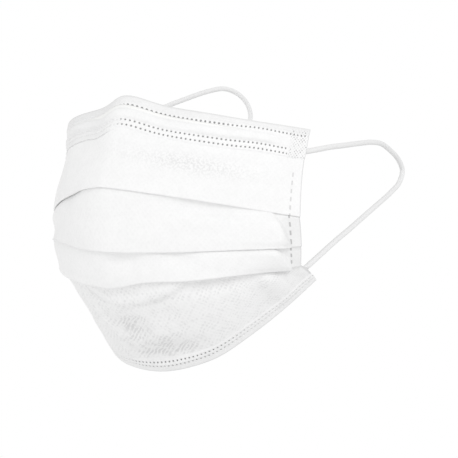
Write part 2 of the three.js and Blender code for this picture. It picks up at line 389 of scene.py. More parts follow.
# The single row's dots are larger near the nose: size, and the two places across where it ends.
SINGLE_DOT_SIZES = ((0.95, 174.0, 175.0), (1.15, 130.0, 142.0), (1.4, 112.0, 120.0))
SINGLE_DOT_SHIFT = 0.25
FIRST_FOLD_DROP = 40.0
DASH_INSET = 4.8
DASH_PITCH = 3.65
DASH_LENGTH = 1.9
DASH_WIDTH = 0.7
DASH_START = 20.0
DASH_STOP = 65.0
PATCH_REACH = 10.2
PATCH_DROP = 15.0
PATCH_PITCH = 1.6
# Worked spots of the body: share across and panel number plus fall, and how far each reaches.
PLACE_SPAN = 4.0
RUBBED_SPOT = ((0.42, 0.62), (0.26, 0.09))
SPECKLED_SPOT = ((0.42, 0.62), (0.28, 0.1))
TUCK_SPOT = ((0.02, 3.08), (0.12, 0.05))
# In the chin's two hollows the slanting bond lines are painted darker, as the hollows' shade.
HOLLOW_SPOTS = (((0.03, 3.46), (0.09, 0.15)), ((0.12, 3.77), (0.19, 0.19)))

CLOTH_WHITE = (0.80, 0.80, 0.80)
CLOTH_SHADE = (0.65, 0.65, 0.651)
WELD_GREY = (0.24, 0.24, 0.243)
BOND_TONE = 0.5
MOTTLE_TONE = 0.14
CLUMP_TONE = 0.16
MAT_AND_SHADE_TONE = 0.6
LINE_TONE = 0.85
SPECK_TONE = 0.6


def wave(sums, across, down, slope, pitch):
    """The absolute sine of across plus slope times down: slanting lines one pitch apart."""
    along = sums.plus(across, sums.times(down, slope))
    return sums.do("ABSOLUTE", sums.do("SINE", sums.times(along, math.pi / pitch)))


def bond_lattice(sums, across, down, pitch, low=0.45, high=0.8):
    """1 on the small pressed points of a diamond lattice and 0 between them."""
    crossed = [wave(sums, across, down, slope, pitch) for slope in (1.0, -1.0)]
    return sums.step(low, high, sums.times(*crossed))


def spot(sums, share, level, middle, reach):
    """A soft spot that is 1 at its middle: share across the mask, and panel number plus fall."""
    squares = [sums.do("POWER", sums.do("DIVIDE", sums.do("SUBTRACT", value, centre), width), 2.0)
               for value, centre, width in zip((share, level), middle, reach)]
    return sums.do("EXPONENT", sums.times(sums.plus(*squares), -1.0))


def dot_row(sums, across, drop, row, shift, size=1.0):
    """1 on the floor of each round dot in one row and 0 outside them."""
    along = sums.saw(across, DOT_PITCH, shift)
    off = sums.do("SUBTRACT", drop, row)
    far = sums.do("SQRT", sums.plus(sums.times(along, along), sums.times(off, off)))
    return sums.below(DOT_RADIUS * 0.6 * size, DOT_RADIUS * 1.05 * size, far)


def dash_column(sums, edge, drop):
    """1 inside the dashes of the side weld and 0 outside them. They are fainter on the top panel,
    where the weld goes through one layer only."""
    along = sums.do("ABSOLUTE", sums.saw(sums.do("SUBTRACT", drop, DASH_START), DASH_PITCH))
    off = sums.do("ABSOLUTE", sums.do("SUBTRACT", edge, DASH_INSET))
    pleated = sums.step(FIRST_FOLD_DROP - 1, FIRST_FOLD_DROP + 1, drop)
    return sums.times(sums.below(DASH_LENGTH * 0.42, DASH_LENGTH * 0.58, along),
                      sums.below(DASH_WIDTH * 0.4, DASH_WIDTH * 0.62, off),
                      sums.step(DASH_START - 0.2, DASH_START, drop),
                      sums.below(DASH_STOP - 0.2, DASH_STOP, drop),
                      sums.plus(0.34, sums.times(pleated, 0.28)))


def corner_patch(sums, edge, across, drop):
    """The fine lattice pressed over the elastic's weld in a top corner."""
    uneven = sums.step(0.45, 0.6, sums.noise(500, 2))
    return sums.times(bond_lattice(sums, across, drop, PATCH_PITCH, 0.6, 0.85),
                      sums.below(PATCH_REACH - 1.5, PATCH_REACH, edge),
                      sums.below(PATCH_DROP - 1.5, PATCH_DROP, drop),
                      sums.step(1.0, 2.2, drop),
                      sums.plus(0.15, sums.times(uneven, 0.5)))


def nonwoven(name, mark_maker, bond_strength, tone_and_shade, worked):
    """White spunbond cloth. mark_maker gives the mask of its weld marks. The function after
    bond_strength gives where its tone is deeper: partly the cloth's own tone, partly painted shade
    along edges and rims. worked gives how strongly its bonds show, where they draw slanting lines,
    which are partly painted shade, and where the cloth is speckled."""
    material, shader = new_material(name)
    sums = Sums(material)
    across, down = sums.measures("cloth", CLOTH_SPAN)
    across = sums.plus(across, sums.times(sums.noise(190, 2), BOND_UNEVEN))
    down = sums.plus(down, sums.times(sums.noise(160, 2), BOND_UNEVEN))
    lines = sums.step(0.3, 0.95, wave(sums, across, down, 1.3, BOND_PITCH))
    marks = mark_maker(sums)
    mottle = sums.step(0.35, 0.7, sums.noise(180, 3))
    clumps = sums.step(0.4, 0.66, sums.noise(640, 2))
    specks = sums.step(0.42, 0.62, sums.noise(1250, 0))
    patchy = sums.plus(0.3, sums.times(sums.step(0.42, 0.6, sums.noise(300, 3)), 1.2))
    rubbed, drawn, speckled = worked(sums)
    bonds = sums.times(bond_lattice(sums, across, down, BOND_PITCH),
                       sums.plus(0.25, sums.times(rubbed, patchy)))
    # Painted shade is part of this tone: along edges and rims, and in the slanting lines of the
    # chin's hollows.
    mat_and_shade = sums.plus(sums.times(bonds, BOND_TONE * bond_strength), sums.times(mottle, MOTTLE_TONE),
                    sums.times(clumps, CLUMP_TONE), tone_and_shade(sums))
    tone = sums.plus(sums.times(mat_and_shade, MAT_AND_SHADE_TONE), sums.times(lines, drawn, patchy, LINE_TONE),
                     sums.times(specks, speckled, SPECK_TONE))
    cloth = sums.blend(tone, CLOTH_WHITE, CLOTH_SHADE)
    colour = sums.blend(sums.times(marks, 0.92), cloth, WELD_GREY)
    sums.links.new(colour, shader.inputs["Base Color"])
    sums.put(shader.inputs["Roughness"], sums.do("SUBTRACT", 0.82, sums.times(marks, 0.35)))
    fibres = sums.times(sums.noise(2600, 5), 0.35)
    relief = sums.do("SUBTRACT", fibres, sums.times(bonds, 0.6 * bond_strength))
    soft = sums.bump(relief, 0.55, 0.12)
    pressed = sums.bump(sums.do("SUBTRACT", 1.0, marks), 0.9, 0.25, soft)
    sums.links.new(pressed, shader.inputs["Normal"])
    return material


def places(sums):
    """How far a point is from the side edge, down the face and across the cloth."""
    edge, drop = sums.measures("face", CLOTH_SPAN)
    return edge, drop, sums.measures("cloth", CLOTH_SPAN)[0]


def body_marks(sums):
    edge, drop, across = places(sums)
    return sums.highest(dash_column(sums, edge, drop), corner_patch(sums, edge, across, drop))


def top_marks(sums):
    """Three rows of dots. They fade out on the wearer's right cheek."""
    edge, drop, across = places(sums)
    clear = sums.step(PATCH_REACH - 0.4, PATCH_REACH + 0.4, edge)
    pressed = sums.plus(0.06, sums.times(sums.step(88.5, 93.0, across), 0.94))
    rows = [sums.times(dot_row(sums, across, drop, row, 0.5 * i), clear)
            for i, row in enumerate(TOP_DOUBLE_ROWS)]
    for size, near, far in SINGLE_DOT_SIZES:
        row = dot_row(sums, across, drop, TOP_ROW, SINGLE_DOT_SHIFT, size)
        rows.append(sums.times(row, sums.below(near, far, across)))
    dots = sums.times(sums.highest(*rows), pressed)
    return sums.highest(dots, corner_patch(sums, edge, across, drop))


def bottom_marks(sums):
    """Two rows of dots, the one nearer the hem fainter. They fade towards both cheeks."""
    _, drop, across = places(sums)
    rows = [dot_row(sums, across, drop, row, 0.5 * i) for i, row in enumerate(BOTTOM_DOUBLE_ROWS)]
    dots = sums.highest(sums.times(rows[0], 0.7), rows[1])
    pressed = sums.times(sums.step(76.0, 84.0, across), sums.below(112.0, 145.0, across))
    return sums.times(dots, sums.plus(0.22, sums.times(pressed, 0.78)))


def cut_edge_shade(sums, edge):
    """Painted shade along a cut side edge, standing for the shade on its thickness."""
    return sums.times(sums.below(0.1, 0.6, edge), 0.8)


def folded_rim_shade(sums, drop):
    """Painted shade along a folded edge."""
    return sums.times(sums.below(0.9, 1.4, drop), 0.7)


def side_tone_and_shade(sums):
    """The side weld's strip below the first fold is a little grey. The cut edge and the chin's side
    rim are painted shade.
    """
    edge, drop = sums.measures("face", CLOTH_SPAN)
    level = sums.measures("place", PLACE_SPAN)[1]
    below_fold = sums.step(FIRST_FOLD_DROP, FIRST_FOLD_DROP + 1.5, drop)
    weld = sums.times(sums.below(6.5, 10.5, edge), below_fold, sums.below(53.0, 54.0, drop), 0.75)
    # Painted shade on the chin's side rim, where the edge of the stacked layers and the groove
    # under it lie in shade.
    chin_rim_shade = sums.times(sums.below(0.6, 1.3, edge), sums.step(3.03, 3.1, level), 1.6)
    return sums.plus(weld, sums.highest(cut_edge_shade(sums, edge), chin_rim_shade))


def top_tone_and_shade(sums):
    """Painted shade greys the folded top edge, the cut side edges and the strip over the wearer's
    right cheek, which turns away from the light. The band above the first weld row is a little
    grey."""
    edge, drop, across = places(sums)
    above = sums.times(sums.below(TOP_ROW - 1.0, TOP_ROW - 0.4, drop), 0.45)
    # Painted shade on the strip over the wearer's right cheek, which turns away from the light.
    far_cheek_shade = sums.times(sums.below(82.0, 90.0, across), 0.35)
    return sums.plus(above, far_cheek_shade, folded_rim_shade(sums, drop), cut_edge_shade(sums, edge))


def bottom_tone_and_shade(sums):
    """The hem is doubled cloth, a little grey, with painted shade along its folded edge."""
    drop = sums.measures("face", CLOTH_SPAN)[1]
    return sums.plus(0.25, folded_rim_shade(sums, drop))


def body_worked(sums):
    """The bonds show most in the tuck and over the chin. In the chin's two hollows they draw
    slanting lines, darkened there as painted shade of the hollows, and the cloth that was rubbed
    under the strip is speckled."""
    share, level = sums.measures("place", PLACE_SPAN)
    share = sums.do("SUBTRACT", sums.do("DIVIDE", share, PLACE_SPAN / 2), 1.0)
    chin = sums.step(2.99, 3.01, level)
    rubbed = sums.highest(sums.times(spot(sums, share, level, *RUBBED_SPOT), 0.2),
                          sums.times(spot(sums, share, level, *TUCK_SPOT), 1.2),
                          sums.times(chin, 0.75))
    hollows = [spot(sums, share, level, *hollow) for hollow in HOLLOW_SPOTS]
    drawn = sums.highest(*hollows, sums.times(chin, 0.12))
    return rubbed, drawn, spot(sums, share, level, *SPECKLED_SPOT)


def strip_worked(sums):
    """The strips are plain cloth: their bonds hardly show."""
    return 0.05, 0.0, 0.0


body_cloth = nonwoven("body_cloth", body_marks, 1.0, side_tone_and_shade, body_worked)
top_cloth = nonwoven("top_strip_cloth", top_marks, 0.7, top_tone_and_shade, strip_worked)
bottom_cloth = nonwoven("bottom_strip_cloth", bottom_marks, 0.7, bottom_tone_and_shade, strip_worked)

# %% Elastic and wire finishes
RIB_COUNT = 14
STITCH_PITCH = 0.55
CORD_SPAN = 100
# The darker knit colour is painted shade for the grooves.
KNIT_GROOVE_SHADE = (0.69, 0.69, 0.692)
KNIT_WHITE = (0.79, 0.79, 0.79)
WIRE_SHADE = (0.78, 0.78, 0.77)
WIRE_WHITE = (0.84, 0.84, 0.83)


def knitted(name):
    """Soft white knitted elastic: fine ribs along the cord crossed by slanting stitches, with
    painted shade in the grooves between them.
    """
    material, shader = new_material(name)
    sums = Sums(material)
    around, along = sums.measures("cord", 1.0)
    rib = sums.do("SINE", sums.times(around, 2 * math.pi * RIB_COUNT))
    length = sums.times(along, 2 * math.pi * CORD_SPAN / STITCH_PITCH)
    slant = sums.times(sums.do("ABSOLUTE", rib), 1.6)
    stitch = sums.do("SINE", sums.plus(length, slant))
    relief = sums.plus(sums.times(rib, 0.4), sums.times(stitch, 0.35))
    # The knit's low grooves are painted darker as shade.
    colour = sums.blend(sums.step(-0.7, 0.7, relief), KNIT_GROOVE_SHADE, KNIT_WHITE)
    sums.links.new(colour, shader.inputs["Base Color"])
    shader.inputs["Roughness"].default_value = 0.85
    sums.links.new(sums.bump(relief, 0.35, 0.12), shader.inputs["Normal"])
    return material


def coated_wire(name):
    """White plastic over steel, with faint drawing lines."""
    material, shader = new_material(name)
    sums = Sums(material)
    drawn = sums.noise(900, 2)
    sums.links.new(sums.blend(drawn, WIRE_SHADE, WIRE_WHITE), shader.inputs["Base Color"])
    shader.inputs["Roughness"].default_value = 0.42
    sums.links.new(sums.bump(drawn, 0.2, 0.05), shader.inputs["Normal"])
    return material


elastic_knit = knitted("elastic_knit")
wire_coating = coated_wire("wire_coating")

# %% [markdown]
# The tube is a grid of rings: a point is the route's point plus the radius along a direction that
# turns round it. The directions come from one fixed sideways vector, because each loop lies nearly
# in one upright plane, so the rings never twist.

# %% Elastics
RING_SPACING = 0.5
RING_SIDES = 20
WELD_LENGTH = 9.0
WELD_FLATNESS = 0.45
WELD_SPREAD = 1.25
SEAT_SHIFT = 1.7


def seated_route(points, outward):
    """The route with its first and last points moved out against the thin cloth."""
    share = np.zeros(len(points))
    share[[0, -1]] = 1.0
    share[[1, -2]] = 0.8
    share[[2, -3]] = 0.25
    return points + share[:, None] * SEAT_SHIFT * outward


def tube_uvs(corners, reach):
    """How far round the cord each face corner is, from 0 to 1, and how far along it. The last
    faces of a ring end at 1, so that the knit doesn't run back over them."""
    around = (corners % RING_SIDES) / RING_SIDES
    last = np.tile(np.repeat(np.arange(RING_SIDES) == RING_SIDES - 1, 4), len(reach) - 1)
    seam = np.zeros(len(corners), dtype=bool)
    seam[:len(last)] = last
    around = np.where(seam & (around == 0), 1.0, around)
    return {"cord": np.stack([around, reach[corners // RING_SIDES] / CORD_SPAN], -1)}


def elastic(name, points, sideways, outward):
    """A round tube along a route, pressed flat at both ends."""
    line, reach = smooth_route(seated_route(points, outward), RING_SPACING)
    tangent = unit(np.gradient(line, axis=0))
    first = unit(sideways - (tangent @ sideways)[:, None] * tangent)
    second = np.cross(tangent, first)
    angle = np.linspace(0, 2 * math.pi, RING_SIDES + 1)[:-1]
    from_end = np.minimum(reach, reach[-1] - reach)
    pressed = 1 - smoothstep(WELD_LENGTH - 3, WELD_LENGTH, from_end)
    thin = 1 + (WELD_FLATNESS - 1) * pressed
    wide = 1 + (WELD_SPREAD - 1) * pressed
    uneven = 1 + 0.015 * np.sin(reach * 1.7) + 0.01 * np.sin(reach * 4.3 + 1)
    radius = ELASTIC_DIAMETER / 2 * uneven
    ring = (np.cos(angle)[None, :, None] * (radius * thin)[:, None, None] * first[:, None, :]
            + np.sin(angle)[None, :, None] * (radius * wide)[:, None, None] * second[:, None, :])
    tube = (line[:, None, :] + ring).reshape(-1, 3)
    index = np.arange(len(tube)).reshape(-1, RING_SIDES)
    wrapped = np.concatenate([index, index[:, :1]], axis=1)
    sides = [wrapped[:-1, :-1], wrapped[:-1, 1:], wrapped[1:, 1:], wrapped[1:, :-1]]
    faces = np.stack(sides, -1).reshape(-1, 4).tolist()
    faces += [index[0, ::-1].tolist(), index[-1].tolist()]
    piece = mesh_piece(name, tube, faces, lambda corners: tube_uvs(corners, reach), elastic_knit)
    print(name, "is", round(reach[-1], 1), "mm long")
    return piece, line, reach[-1]


def place_elastic(name, points, node, sideways, outward):
    """An elastic that stands for its CAD tube."""
    piece, line, length = elastic(name, points, np.array(sideways), np.array(outward))
    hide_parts(node)
    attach(piece, "root")


place_elastic("elastic_left", LEFT_ROUTE, "ear_loop_left", (1.0, 0.0, 0.0), (0.84, -0.5, 0.2))
place_elastic("elastic_right", RIGHT_ROUTE, "ear_loop_right", (-0.89, -0.45, 0.0),
              (-0.84, -0.5, 0.2))

# %% [markdown]
# The mask's form comes from five cross-sections: the top edge, three folds and the bottom edge.
# Each goes back from the middle to the side along a power curve. They are the same sizes that the
# frame was built from, apart from the pinch over the nose, so the thin cloth lies inside the
# frame's thicker one. The table's numbers were found by least squares, as the camera's were, and
# rounded. The pinch of the nose and the first drift come from a second fit, of the top edge alone.
# Points along a section are read by length, because cloth keeps its width.

# %% Cross-sections
FACE_WIDTH = 139
FACE_DEPTH = 73
FACE_HEIGHT = 122
SEAT_INSET = 1.8
SEAT_DROP = 4
NOSE_OUT = 6.5
NOSE_RISE = 4.5
NOSE_HALF_WIDTH = 12.3
NOSE_ASIDE = 3.0
FOLD_END_BACK = 1.0
# halfWidth, front, back, middle, side, plan power, drop power, pinch
SECTIONS = {
    "top edge": (0.477, 0.089, 0.656, -0.034, -0.116, 3.2, 1.9, 1),
    "first fold": (0.491, -0.213, 0.475, -0.321, -0.428, 1.7, 1.3, 0),
    "second fold": (0.5, -0.196, 0.474, -0.547, -0.53, 1.7, 2.0, 0),
    "third fold": (0.468, -0.124, 0.573, -0.678, -0.604, 2.5, 1.3, 0),
    "bottom edge": (0.46, 0.315, 0.786, -1.003, -0.663, 2.1, 2.1, 0),
}
# Soft cloth is never quite even: section, share across, width of the drift, and its rise in mm.
DRIFTS = (
    ("top edge", 0.62, 0.25, -0.5),
    ("first fold", 0.5, 0.6, 0.45),
    ("first fold", -0.14, 0.08, 0.4),
    ("second fold", -0.5, 0.35, 2.4),
    ("third fold", 0.21, 0.14, 1.6),
    ("bottom edge", -0.28, 0.12, -1.2),
    ("bottom edge", -0.4, 0.09, 1.6),
    ("bottom edge", 0.38, 0.12, -0.8),
)


def hill(x, middle, width):
    """A smooth bump that is 1 at middle and fades over width."""
    return np.exp(-((x - middle) / width) ** 2)


def section_points(name, shares):
    """The section's points at shares of its half length, from -1 to 1. The right side mirrors the
    left. The pinch of the nose and the drifts are added after that."""
    half_width, front, back, middle, side, plan, drop, pinch = SECTIONS[name]
    out = np.linspace(0, 1, 600)
    x = half_width * FACE_WIDTH * out
    y = (front + (back - front) * out ** plan) * FACE_DEPTH
    z = (middle + (side - middle) * out ** drop) * FACE_HEIGHT
    steps = np.sqrt(np.diff(x) ** 2 + np.diff(y) ** 2 + np.diff(z) ** 2)
    reach = np.concatenate([[0], np.cumsum(steps)])
    at = np.abs(shares) * reach[-1]
    x, y, z = (np.interp(at, reach, line) for line in (x, y, z))
    x = x * np.sign(shares)
    nose = pinch * hill(x, NOSE_ASIDE, NOSE_HALF_WIDTH)
    for section, share, width, rise in DRIFTS:
        if section == name:
            z = z + rise * hill(shares, share, width)
    if name == "first fold":
        y = y + FOLD_END_BACK * smoothstep(0.85, 1, np.abs(shares))
    return np.stack([x, y - NOSE_OUT * nose - SEAT_INSET, z + NOSE_RISE * nose + SEAT_DROP], -1)


def slices(shares):
    """Points, normals, downward directions and panel heights of the mask at some shares."""
    step = 0.004
    points = np.stack([section_points(name, shares) for name in SECTIONS])
    ahead = np.stack([section_points(name, np.minimum(shares + step, 1)) for name in SECTIONS])
    behind = np.stack([section_points(name, np.maximum(shares - step, -1)) for name in SECTIONS])
    across = unit(ahead - behind)
    runs = points[1:] - points[:-1]
    heights = np.linalg.norm(runs, axis=-1)
    downs = unit(runs)
    above = unit(np.cross(np.concatenate([downs[:1], downs]), across))
    below = unit(np.cross(np.concatenate([downs, downs[-1:]]), across))
    return {"shares": shares, "points": points, "normals": unit(above + below), "downs": downs,
            "across": across, "heights": heights}


# %% [markdown]
# Columns of the grid crowd where the cloth turns sharply: over the nose and beside the side welds.
# Their spacing is the inverse of a density, summed up and read back at even steps.

# %% Columns across the mask
COLUMNS = 236
HALF_CLOTH = 87.5


def column_shares(count):
    """Shares from -1 to 1, closer together over the nose and near both side welds."""
    x = np.linspace(-1, 1, 4001)
    edge = (1 - np.abs(x)) * HALF_CLOTH
    density = 1 + 0.9 * np.exp(-(x * HALF_CLOTH / 9) ** 2) + 1.3 * np.exp(-((edge - 9) / 7) ** 2)
    total = np.concatenate([[0], np.cumsum((density[1:] + density[:-1]) / 2)])
    return np.interp(np.linspace(0, total[-1], count), total, x)


# %% [markdown]
# Between two folds the cloth is a panel. It swells a little, starts behind the fold above and comes
# forward to its own fold. At the side welds all layers are pressed together, and just inside them
# each lower panel puffs out in a soft rounded edge that slants from the fold above towards the
# weld. The chin panel has its own tuck, hollow and long soft folds. Every one is a smooth bump
# function of the share across and the fall down the panel.

# %% Swelling and wrinkles
THICKNESS = 0.38
SIDE_PITCH = 0.43
WELD_REACH = 6.0
PLEAT_DEPTH_SIDE = (0.34, 0.7, 0.7)
PLEAT_DEPTH_MIDDLE = (0.12, 0.2, 0.25)
PLEAT_PITCH_MIDDLE = (0.40, 0.48, 0.46)
CROWN_SHARE = (0.03, 0.02, 0.0, 0.03)
# How much of a lower panel's side puff is drawn back in at its fold.
PUFF_TUCK = {1: 0.45, 2: 0.2}
PUFF_EDGE = 5.0
PUFF_SLANT = 7.0
PUFF_RISE_LEFT = 2.4
PUFF_RISE_RIGHT = 0.6
# How far the side edge bows out in each panel.
EDGE_BOW = (-1.3, 0.0, 0.0, 1.2)
# How the first pleat gapes on the wearer's right cheek: width of the gap, share across and reach.
FIRST_GAPE = ((0.3, -0.55, 0.2), (0.55, -0.3, 0.16))
# For each panel: share across, width, fall and depth of the far cheek's hollow.
FAR_HOLLOW = ((-0.72, 0.3, 0.45, 3.0), (-0.75, 0.3, 0.7, 2.2), (-0.75, 0.3, 0.4, -0.5),
              (-0.38, 0.22, 0.5, 2.2))
# Bumps of a panel, in rows: rise, share across, lean (how far that share moves down the panel),
# width, fall, tilt (how far that fall moves across) and reach. A hollow has a negative rise.
TOP_BUMPS = ((-0.55, 0.48, 0, 0.26, 0.55, -0.03, 0.055), (0.33, 0.48, 0, 0.26, 0.64, 0, 0.07),
             (-2.9, -0.66, 0, 0.14, 0.2, 0, 0.17))
SECOND_BUMPS = ((-1.1, 0.05, 0, 0.26, 0.42, 0, 0.26), (0.4, -0.16, 0, 0.08, 0.8, 0, 0.16),
                (-1.3, -0.95, 0, 0.09, 1, 0, 0.2))
CHIN_BUMPS = (
    (-2.8, 0.02, 0, 0.07, 0.47, 0, 0.12), (-3.2, 0.12, 0, 0.15, 0.84, 0, 0.17),
    (0.9, 0.16, 0, 0.14, 0.56, 0, 0.1), (-0.7, 0.0, 0, 0.09, 0.07, 0, 0.05),
    (0.6, -0.03, 0, 0.09, 0.55, -0.05, 0.025), (1.3, -0.27, 0.32, 0.03, 0.33, 0, 0.24),
    (-1.0, -0.21, 0.7, 0.025, 0.1, 0, 0.07), (0.5, -0.4, 0.25, 0.05, 0.45, 0, 0.2),
    (-2.5, 0.52, 0, 0.18, 0.08, 0, 0.12), (-0.9, 0.89, 0, 0.045, 0.06, 0, 0.07),
    (-0.9, -0.89, 0, 0.045, 0.06, 0, 0.07), (-1.6, -0.52, 0, 0.15, 0.2, 0, 0.2),
)
# Hollows in the shade of a fold, for each lower panel: where they start, and their bumps.
FOLD_SHADES = {
    1: (0.06, ((-2.2, 0.53, 0, 0.24, 0.16, 0, 0.15),)),
    2: (0.1, ((-1.9, 0.11, 0, 0.1, 0.26, 0, 0.28), (-1.52, 0.38, 0, 0.08, 0.26, 0, 0.28),
              (-0.38, 0.2, 0, 0.22, 0.26, 0, 0.28))),
}


def edge_distance(shares):
    return (1 - np.abs(shares)) * HALF_CLOTH


def pleat_pitch(pleat, shares):
    """How far apart the pleat's layers lie. The first pleat gapes on the wearer's right cheek."""
    open_share = smoothstep(WELD_REACH, 30, edge_distance(shares))
    pitch = SIDE_PITCH + (PLEAT_PITCH_MIDDLE[pleat] - SIDE_PITCH) * open_share
    if pleat == 0:
        pitch = pitch + open_share * sum(gap * hill(shares, share, reach)
                                         for gap, share, reach in FIRST_GAPE)
    return pitch


def pleat_depth(pleat, shares):
    """The share of the panel above that the pleat hides."""
    side, middle = PLEAT_DEPTH_SIDE[pleat], PLEAT_DEPTH_MIDDLE[pleat]
    return side + (middle - side) * (1 - shares ** 2)


def side_puff(shares, fall, panel):
    """The rounded edge of a lower panel beside the side weld, which slants towards the weld."""
    start = PUFF_EDGE + PUFF_SLANT * (1 - fall) ** 1.15
    edge = edge_distance(shares)
    rise = smoothstep(start - 1.6, start + 1.4, edge)
    fade = np.exp(-np.maximum(edge - start - 4, 0) / 16)
    size = np.where(shares > 0, PUFF_RISE_LEFT, PUFF_RISE_RIGHT)
    tuck = 1 - PUFF_TUCK[panel] * smoothstep(0.8, 1, fall)
    return size * rise * fade * smoothstep(-0.1, 0.3, fall) * tuck


def soft_wander(shares, fall, panel):
    """Slow, shallow unevenness of loose cloth."""
    a = shares * HALF_CLOTH
    b = fall * 30 + 37 * panel
    waves = (np.sin(a / 7.3 + b / 6.1 + 1.3) + np.sin(a / 11.9 - b / 8.7 + 0.4)
             + 0.6 * np.sin(a / 4.6 + b / 9.5 + 2.1) + 0.5 * np.sin(b / 3.9 - a / 15.0))
    return 0.13 * waves * np.sin(math.pi * fall) * smoothstep(WELD_REACH, 16, edge_distance(shares))


def bumps(rows, shares, fall):
    """The sum of soft bumps: each is its rise times a hill across and a hill down the panel."""
    return sum(rise * hill(shares, share + lean * fall, width)
               * hill(fall, middle + tilt * shares, reach)
               for rise, share, lean, width, middle, tilt, reach in rows)


def chin_folds(shares, fall):
    """The arched tuck, the bulge beside each weld and the bumps of the chin panel. They fade out at
    the fold above and at the strip below."""
    inside = smoothstep(0.0, 0.05, fall) * (1 - smoothstep(0.8, 0.92, fall))
    arc = 0.2 * (1 - np.abs((shares - 0.11) / 0.3) ** 2.6)
    lip = smoothstep(arc - 0.13, arc - 0.05, fall) * (1 - smoothstep(arc - 0.015, arc + 0.03, fall))
    tuck = lip * smoothstep(0.0, 0.06, arc) * (0.75 + 0.5 * hill(shares, 0.24, 0.1))
    beside = (np.abs(shares) - 0.795) / 0.075
    ring = np.hypot(beside, (fall - 0.22) / np.where(fall < 0.22, 0.2, 0.5))
    return inside * (tuck + 2.4 * hill(ring, 0, 0.9) + bumps(CHIN_BUMPS, shares, fall))


def swelling(panel, shares, fall, height):
    """How far the panel's cloth stands out from the straight line between its folds."""
    bulge = np.sin(math.pi * fall)
    swell = CROWN_SHARE[panel] * height * bulge
    swell = swell * smoothstep(WELD_REACH - 2, 14, edge_distance(shares))
    swell = swell + soft_wander(shares, fall, panel)
    share, width, level, depth = FAR_HOLLOW[panel]
    swell = swell - depth * hill(shares, share, width) * hill(fall, level, 0.3) * bulge ** 0.3
    if panel == 0:
        swell = swell + bumps(TOP_BUMPS, shares, fall)
    if panel == 1:
        swell = swell + bumps(SECOND_BUMPS, shares, fall)
    if panel in FOLD_SHADES:
        start, rows = FOLD_SHADES[panel]
        swell = swell + bumps(rows, shares, fall) * smoothstep(0.0, start, fall)
        swell = swell + side_puff(shares, fall, panel)
    if panel == 3:
        swell = swell + chin_folds(shares, fall)
    return swell


# %% [markdown]
# A layer is read at some falls down a panel and at some depth beside its middle. A pleat is five
# pieces in a row: the visible panel, a half turn at the fold, a hidden layer going up, a half turn
# inside, and a hidden layer coming down again. Stacked, they are one grid from the top edge to the
# bottom edge, so the whole body is one sheet of cloth.

# %% Layers and turns
TURN_STEPS = 5


def blend_normals(cut, panel, fall):
    """Normals between two sections, for falls down the panel by columns across."""
    high, low = cut["normals"][panel], cut["normals"][panel + 1]
    return unit(high * (1 - fall[..., None]) + low * fall[..., None])


def panel_layer(cut, panel, falls, depth, side, turned=0.0):
    """A layer of a panel: points, face directions and measures. falls and depth are numbers or
    arrays of rows by columns. side is -1 where the layer is turned back."""
    shares = cut["shares"]
    fall = np.broadcast_to(falls, np.broadcast_shapes(np.shape(falls), (1, len(shares)))).copy()
    normal = blend_normals(cut, panel, fall)
    height = cut["heights"][panel]
    offset = swelling(panel, shares, fall, height) + depth
    if panel > 0:
        offset = offset - 2 * pleat_pitch(panel - 1, shares) * (1 - fall) ** 3.5
    high, low = cut["points"][panel], cut["points"][panel + 1]
    middle = high * (1 - fall[..., None]) + low * fall[..., None]
    bow = EDGE_BOW[panel] * smoothstep(0.82, 1, np.abs(shares)) * np.sign(shares)
    middle = middle + (bow * np.sin(math.pi * fall))[..., None] * cut["across"][panel]
    drop = cut["heights"][:panel].sum(0) + fall * height
    return {"middle": middle + offset[..., None] * normal, "face": side * normal, "drop": drop,
            "level": panel + fall}


def turn(layer, row, cut, panel, radius, sense, through):
    """A half turn that starts at a layer's row. Its centre is one radius behind the layer.
    sense is 1 where the cloth's outer face is on the outside of the turn."""
    start = layer["middle"][row]
    away = sense * layer["face"][row]
    down = cut["downs"][panel]
    down = unit(down - (down * away).sum(-1, keepdims=True) * away) * through
    centre = start - away * radius[:, None]
    angle = np.linspace(0, math.pi, TURN_STEPS + 2)[1:-1, None, None]
    ray = np.cos(angle) * away + np.sin(angle) * down
    rings = {key: np.repeat(layer[key][row][None], TURN_STEPS, axis=0) for key in ("drop", "level")}
    return {"middle": centre + ray * radius[None, :, None], "face": sense * ray, **rings}


def stack(layers):
    return {key: np.concatenate([layer[key] for layer in layers]) for key in layers[0]}


def column(values):
    """Falls as a column, one for each row of the grid."""
    return np.asarray(values, dtype=float)[:, None]


def eased(count, start, stop):
    """Falls that crowd towards both ends of a panel."""
    even = np.linspace(0, 1, count)
    bent = 0.5 - 0.5 * np.cos(math.pi * even)
    return column(start + (stop - start) * (0.65 * even + 0.35 * bent))


def cloth_measures(sheet, shares):
    """UVs in shares of CLOTH_SPAN: across and down the unfolded cloth, and from the side edge and
    down the face. The third map holds the share across and the panel number plus the fall."""
    steps = np.linalg.norm(np.diff(sheet["middle"], axis=0), axis=-1)
    down = np.concatenate([[0], np.cumsum(np.median(steps, axis=1))])
    rows, columns = sheet["drop"].shape
    across = np.broadcast_to((shares + 1) * HALF_CLOTH, (rows, columns))
    edge = np.broadcast_to(edge_distance(shares), (rows, columns))
    unfolded = np.broadcast_to(down[:, None], (rows, columns))
    place = np.stack([np.broadcast_to((shares + 1) / 2, (rows, columns)), sheet["level"] / 4], -1)
    return {"cloth": np.stack([across, unfolded], -1) / CLOTH_SPAN,
            "face": np.stack([edge, sheet["drop"]], -1) / CLOTH_SPAN, "place": place}, down[-1]


# %% The body
PANEL_ROWS = (40, 27, 17, 46)
EDGE_INSET = 0.9
HIDDEN_ROWS = 5


